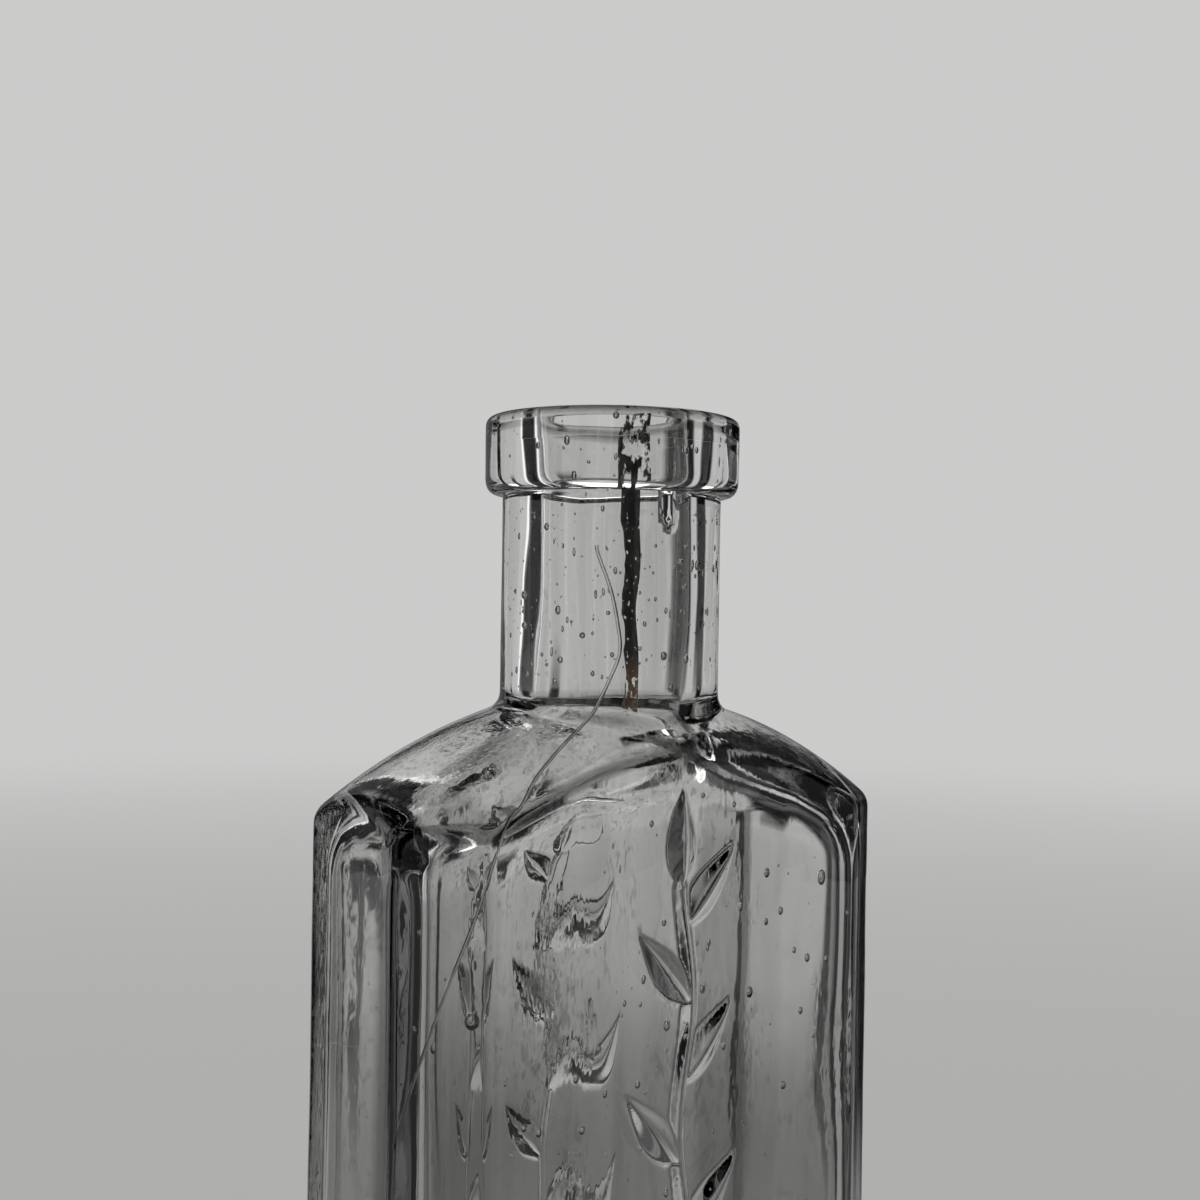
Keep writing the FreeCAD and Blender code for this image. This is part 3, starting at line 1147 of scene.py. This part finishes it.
def standing_card(start, end, ring, height, edge, foot_fade, name, material):
    """An upright card with soft edges that fills the view from the axis between two angles."""
    middle = math.radians(start + end) / 2
    width = 2 * ring * math.tan(math.radians(end - start) / 2)
    bm = bmesh.new()
    cover = bm.verts.layers.float.new(COVER)
    bmesh.ops.create_grid(bm, x_segments=CARD_COLUMNS, y_segments=CARD_ROWS, size=0.5)
    for vert in bm.verts:
        across = 0.5 - abs(vert.co.x)
        foot = (vert.co.y + 0.5) * height
        head = 0.5 - vert.co.y
        vert[cover] = smooth_step(0.0, edge, across) * smooth_step(0.0, SOFT_EDGE, head)
        vert[cover] *= smooth_step(*foot_fade, foot)
    bmesh.ops.scale(bm, vec=(width, height, 1.0), verts=bm.verts)
    stand = Matrix.Translation((0.0, -ring, height / 2)) @ Matrix.Rotation(math.pi / 2, 4, "X")
    bmesh.ops.transform(bm, matrix=Matrix.Rotation(middle, 4, "Z") @ stand, verts=bm.verts)
    only_for_glass(stage_object(bm, name, material))


def floor_wedge(start, end, name, material):
    """A soft-edged card that lies on the floor before a low card and narrows towards the bottle."""
    middle = math.radians(start + end) / 2
    half_turn = math.radians(end - start) / 2
    bm = bmesh.new()
    cover = bm.verts.layers.float.new(COVER)
    bmesh.ops.create_grid(bm, x_segments=CARD_COLUMNS, y_segments=CARD_ROWS, size=0.5)
    for vert in bm.verts:
        along = vert.co.y + 0.5
        across = 0.5 - abs(vert.co.x)
        vert[cover] = smooth_step(0.0, SOFT_EDGE, across) * smooth_step(0.0, WEDGE_FADE, along)
        turn = 2 * vert.co.x * half_turn * lerp(WEDGE_SHARE, 1.0, along)
        vert.co = outward(middle + turn) * lerp(WEDGE_START, LOW_RING, along)
        vert.co.z = WEDGE_LIFT
    only_for_glass(stage_object(bm, name, material))


def level_card(half_size, rows, height, cover_at, name, material):
    """A level card whose cover is worked out for each point of it."""
    bm = bmesh.new()
    cover = bm.verts.layers.float.new(COVER)
    bmesh.ops.create_grid(bm, x_segments=rows, y_segments=rows, size=half_size)
    for vert in bm.verts:
        vert[cover] = cover_at(vert.co)
        vert.co.z = height
    only_for_glass(stage_object(bm, name, material))


def near_floor_cover(point):
    """Full on the floor behind the bottle, as the photograph's camera sees it."""
    behind = outward(CAMERA_AZIMUTH + math.pi)
    away = point.length
    turn = math.degrees(point.angle(behind, 0.0))
    ring = smooth_step(*NEAR_FLOOR_START, away) * smooth_step(*NEAR_FLOOR_END, away)
    return NEAR_FLOOR_COVER * ring * smooth_step(*NEAR_FLOOR_TURN, turn)


def ceiling_cover(point):
    return smooth_step(*CEILING_FADE, point.length)


def dark_room(material):
    """A dim round wall inside the ring of cards that shows only in what the glass mirrors."""
    bm = bmesh.new()
    cover = bm.verts.layers.float.new(COVER)
    bmesh.ops.create_icosphere(bm, subdivisions=ROOM_DIVISIONS, radius=ROOM_RADIUS)
    for vert in bm.verts:
        vert[cover] = ROOM_COVER
    room = stage_object(bm, "dark_room", material)
    only_for_glass(room)
    room.visible_transmission = False


def backdrop():
    world = bpy.data.worlds.new("pale_studio")
    bpy.context.scene.world = world
    finish = Finish(world)
    fill = finish.node("ShaderNodeBackground", {}, {"Color": FILL_LIGHT, "Strength": 1.0})
    pale = finish.node("ShaderNodeBackground", {}, {"Color": BACKDROP, "Strength": 1.0})
    light = finish.node("ShaderNodeMixShader", {}, {"Fac": seen_directly(finish), 1: fill, 2: pale})
    finish.node("ShaderNodeOutputWorld", {}, {"Surface": light})


def cards():
    dark = soft_card("dark_card", DARK, 1.0)
    white = soft_card("white_strip", WHITE, STRIP_LIGHT)
    for index, (start, end) in enumerate(CARDS):
        standing_card(
            start, end, CARD_RING, CARD_HEIGHT, CRISP_EDGE, CARD_FOOT, f"dark_card_{index}", dark)
    for index, turn in enumerate(STRIPS):
        standing_card(
            turn - STRIP_TURN / 2, turn + STRIP_TURN / 2, CARD_RING, CARD_HEIGHT, SOFT_EDGE, CARD_FOOT,
            f"white_strip_{index}", white)
    standing_card(*HIGH_CARD, CARD_RING, CARD_HEIGHT, SOFT_EDGE, HIGH_CARD_FOOT, "high_card", dark)
    for index, (start, end) in enumerate(LOW_CARDS):
        standing_card(start, end, LOW_RING, LOW_HEIGHT, SOFT_EDGE, LOW_FOOT, f"low_card_{index}", dark)
        floor_wedge(start, end, f"floor_wedge_{index}", dark)
    level_card(
        NEAR_FLOOR_END[0], 2 * CARD_ROWS, NEAR_FLOOR_LIFT, near_floor_cover, "near_floor", dark)
    dark_room(dark)
    level_card(CEILING_FADE[0], CARD_ROWS, CEILING_HEIGHT, ceiling_cover, "dark_ceiling", dark)


def softboxes():
    for index in range(LAMP_COUNT):
        azimuth = CAMERA_AZIMUTH + FIRST_LAMP_TURN + math.tau * index / LAMP_COUNT
        data = bpy.data.lights.new(f"softbox_{index}", "AREA")
        data.energy = LAMP_POWER
        data.size = LAMP_SIZE
        lamp = bpy.data.objects.new(f"softbox_{index}", data)
        place = outward(azimuth) * LAMP_RING + Vector((0.0, 0.0, LAMP_HEIGHT))
        aim = Vector((0.0, 0.0, NECK_ROOT)) - place
        turn = aim.to_track_quat("-Z", "Y").to_matrix().to_4x4()
        lamp.matrix_world = Matrix.Translation(place) @ turn
        bpy.context.scene.collection.objects.link(lamp)


def studio():
    backdrop()
    bm = bmesh.new()
    bmesh.ops.create_circle(bm, cap_ends=True, segments=FLOOR_SIDES, radius=FLOOR_RADIUS)
    stage_object(bm, "floor", pale_floor())
    cards()
    softboxes()


def photo_camera():
    right = Vector((math.cos(CAMERA_AZIMUTH), math.sin(CAMERA_AZIMUTH), 0.0))
    back = outward(CAMERA_AZIMUTH)
    up = Vector((0.0, 0.0, 1.0))
    rolled_right = right * math.cos(CAMERA_ROLL) + up * math.sin(CAMERA_ROLL)
    rolled_up = up * math.cos(CAMERA_ROLL) - right * math.sin(CAMERA_ROLL)
    data = bpy.data.cameras.new("photo_camera")
    data.sensor_width = SENSOR_WIDTH_MM
    data.lens = SENSOR_WIDTH_MM * FOCAL_PIXELS / PHOTO_SIZE
    data.clip_start = NEAREST_SEEN
    camera = bpy.data.objects.new("photo_camera", data)
    place = back * CAMERA_DISTANCE - right * CAMERA_LEFT_OF_AXIS + up * CAMERA_HEIGHT
    turn = Matrix((rolled_right, rolled_up, back)).transposed().to_4x4()
    camera.matrix_world = Matrix.Translation(place) @ turn
    bpy.context.scene.collection.objects.link(camera)
    bpy.context.scene.camera = camera


joint = fused_joint()
stained_neck = stained_break("stained_break", *NECK_GAPS)
stained_rim = stained_break("stained_rim", *RIM_GAPS)
bottle_body([glass("bottle_glass"), joint, stained_neck, stained_rim])
lip_collar([glass("lip_glass"), joint, stained_neck, stained_rim])
studio()
photo_camera()
bpy.context.scene.view_settings.view_transform = "Standard"
